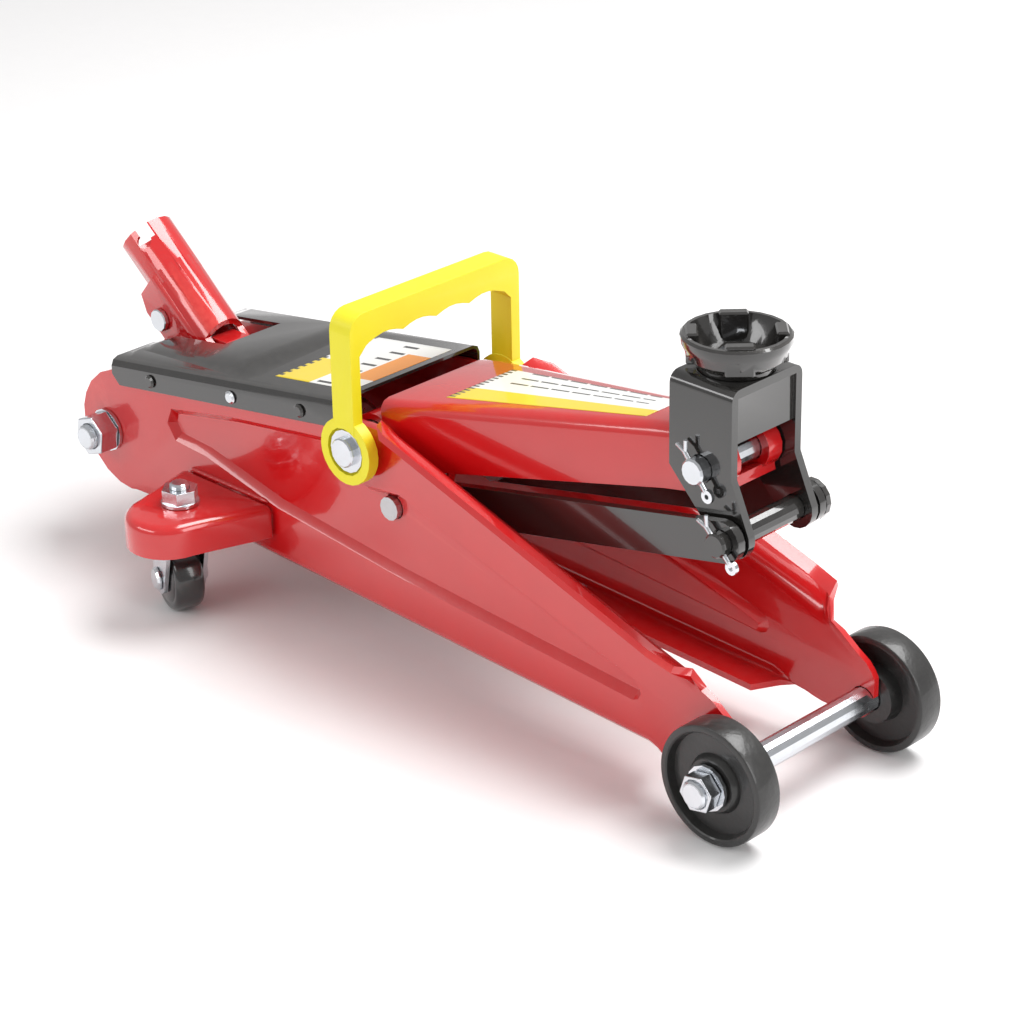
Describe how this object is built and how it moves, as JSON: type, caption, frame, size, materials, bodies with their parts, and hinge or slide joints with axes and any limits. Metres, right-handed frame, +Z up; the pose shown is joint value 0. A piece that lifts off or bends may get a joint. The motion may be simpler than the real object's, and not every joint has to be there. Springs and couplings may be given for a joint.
{
  "type": "trolley car jack",
  "caption": "Low hydraulic trolley jack on wheels: a lifting arm with a swivelling saddle, carry handle and pump handle socket.",
  "frame": {"origin": "centre of the bounding box, on the floor", "axes": "+X towards the front wheels and the saddle, +Y to the jack's left, +Z up"},
  "size_m": [0.4464, 0.197, 0.1966],
  "materials": {
    "red_paint": "gloss red enamel",
    "black_paint": "gloss black enamel",
    "black_cast_iron": "black-painted rough casting",
    "bright_zinc": "bright zinc plate",
    "ground_steel": "machined, oiled",
    "yellow_plastic": "moulded, satin",
    "black_tread": "moulded, glossy black"
  },
  "bodies": {
    "frame": {"side_plate_right": "red_paint", "side_plate_left": "red_paint", "front_axle": "bright_zinc", "front_washer_right": "bright_zinc", "front_washer_left": "bright_zinc", "front_nut_right": "bright_zinc", "front_nut_left": "bright_zinc", "rear_bolt": "bright_zinc", "rear_washer_right": "bright_zinc", "rear_washer_left": "bright_zinc", "rear_nut_right": "bright_zinc", "rear_nut_left": "bright_zinc", "arm_shaft": "ground_steel", "link_stud_right": "ground_steel", "link_stud_left": "ground_steel", "handle_bolt_right": "bright_zinc", "handle_bolt_left": "bright_zinc", "cover": "black_paint", "caster_hood_right": "red_paint", "caster_hood_left": "red_paint", "caster_stud_right": "bright_zinc", "caster_stud_left": "bright_zinc", "caster_nut_right": "bright_zinc", "caster_nut_left": "bright_zinc", "pump_block": "red_paint", "cylinder": "ground_steel", "fulcrum_pin": "bright_zinc", "pump_spring": "ground_steel", "cover_screw_1_right": "black_paint", "cover_screw_1_left": "black_paint", "cover_screw_2_right": "bright_zinc", "cover_screw_2_left": "bright_zinc", "cover_screw_3_right": "black_paint", "cover_screw_3_left": "black_paint"},
    "front_wheel_right": {"front_wheel_right": "black_cast_iron"},
    "front_wheel_left": {"front_wheel_left": "black_cast_iron"},
    "lift_arm": {"lift_arm": "red_paint"},
    "link_right": {"parallel_link_right": "black_paint"},
    "link_left": {"parallel_link_left": "black_paint"},
    "saddle_bracket": {"saddle_bracket": "black_paint", "upper_pin": "bright_zinc", "upper_cotter_pin": "bright_zinc", "lower_pin": "black_paint", "lower_cotter_pin": "bright_zinc", "saddle_rivet": "bright_zinc"},
    "saddle": {"saddle": "black_paint"},
    "carry_handle": {"carry_handle": "yellow_plastic"},
    "handle_socket": {"handle_socket": "red_paint", "socket_pin": "bright_zinc", "pump_roller": "ground_steel"},
    "pump_plunger": {"pump_plunger": "ground_steel"},
    "ram": {"ram": "ground_steel", "push_link": "ground_steel"},
    "caster_right": {"caster_fork_right": "bright_zinc", "caster_axle_right": "bright_zinc"},
    "caster_left": {"caster_fork_left": "bright_zinc", "caster_axle_left": "bright_zinc"},
    "caster_wheel_right": {"caster_wheel_right": "black_tread"},
    "caster_wheel_left": {"caster_wheel_left": "black_tread"},
    "release_valve": {"release_valve": "bright_zinc"}
  },
  "joints": [
    {"name": "arm_lift", "type": "hinge", "parent": "frame", "child": "lift_arm", "pos_m": [-0.02161, 0, 0.1044], "axis": [0, -1, 0], "range_deg": [-19, 46]},
    {"name": "bracket_level", "type": "hinge", "parent": "lift_arm", "child": "saddle_bracket", "pos_m": [0.15808, 0, 0.14259], "axis": [0, -1, 0], "range_deg": [-46, 19]},
    {"name": "saddle_swivel", "type": "hinge", "parent": "saddle_bracket", "child": "saddle", "pos_m": [0.15738, 0, 0.18035], "axis": [0, 0, 1], "continuous": true},
    {"name": "handle_fold", "type": "hinge", "parent": "frame", "child": "carry_handle", "pos_m": [-0.02161, 0, 0.1044], "axis": [0, -1, 0], "range_deg": [0, 56]},
    {"name": "pump_stroke", "type": "hinge", "parent": "frame", "child": "handle_socket", "pos_m": [-0.15801, 0, 0.0931], "axis": [0, -1, 0], "range_deg": [-15, 10]},
    {"name": "plunger_slide", "type": "slide", "parent": "frame", "child": "pump_plunger", "axis": [0, 0, 1], "range_m": [-0.0056, 0.0083], "deforming": ["pump_spring"]},
    {"name": "ram_slide", "type": "slide", "parent": "frame", "child": "ram", "axis": [1, 0, 0], "range_m": [-0.012, 0.0285]},
    {"name": "valve_turn", "type": "hinge", "parent": "frame", "child": "release_valve", "pos_m": [-0.21041, 0.02, 0.0724], "axis": [-1, 0, 0], "range_deg": [0, 180]},
    {"name": "link_swing_right", "type": "hinge", "parent": "frame", "child": "link_right", "pos_m": [-0.00511, -0.0253, 0.0789], "axis": [0, -1, 0], "range_deg": [-19, 46]},
    {"name": "front_wheel_spin_right", "type": "hinge", "parent": "frame", "child": "front_wheel_right", "pos_m": [0.19639, -0.0518, 0.0268], "axis": [0, 1, 0], "continuous": true},
    {"name": "caster_swivel_right", "type": "hinge", "parent": "frame", "child": "caster_right", "pos_m": [-0.11461, -0.07, 0.047], "axis": [0, 0, 1], "continuous": true},
    {"name": "caster_wheel_spin_right", "type": "hinge", "parent": "caster_right", "child": "caster_wheel_right", "pos_m": [-0.1226, -0.06709, 0.0165], "axis": [0.342, 0.9397, 0], "continuous": true},
    {"name": "link_swing_left", "type": "hinge", "parent": "frame", "child": "link_left", "pos_m": [-0.00511, 0.0253, 0.0789], "axis": [0, -1, 0], "range_deg": [-19, 46]},
    {"name": "front_wheel_spin_left", "type": "hinge", "parent": "frame", "child": "front_wheel_left", "pos_m": [0.19639, 0.0518, 0.0268], "axis": [0, 1, 0], "continuous": true},
    {"name": "caster_swivel_left", "type": "hinge", "parent": "frame", "child": "caster_left", "pos_m": [-0.11461, 0.07, 0.047], "axis": [0, 0, 1], "continuous": true},
    {"name": "caster_wheel_spin_left", "type": "hinge", "parent": "caster_left", "child": "caster_wheel_left", "pos_m": [-0.1226, 0.06709, 0.0165], "axis": [0.342, -0.9397, 0], "continuous": true}
  ],
  "couplings": [
    {"joint": "bracket_level", "follows": "arm_lift", "ratio": -1},
    {"joint": "link_swing_right", "follows": "arm_lift", "ratio": 1},
    {"joint": "link_swing_left", "follows": "arm_lift", "ratio": 1},
    {"joint": "ram_slide", "follows": "arm_lift", "m_per_rad": 0.03466},
    {"joint": "plunger_slide", "follows": "pump_stroke", "m_per_rad": -0.0315}
  ]
}
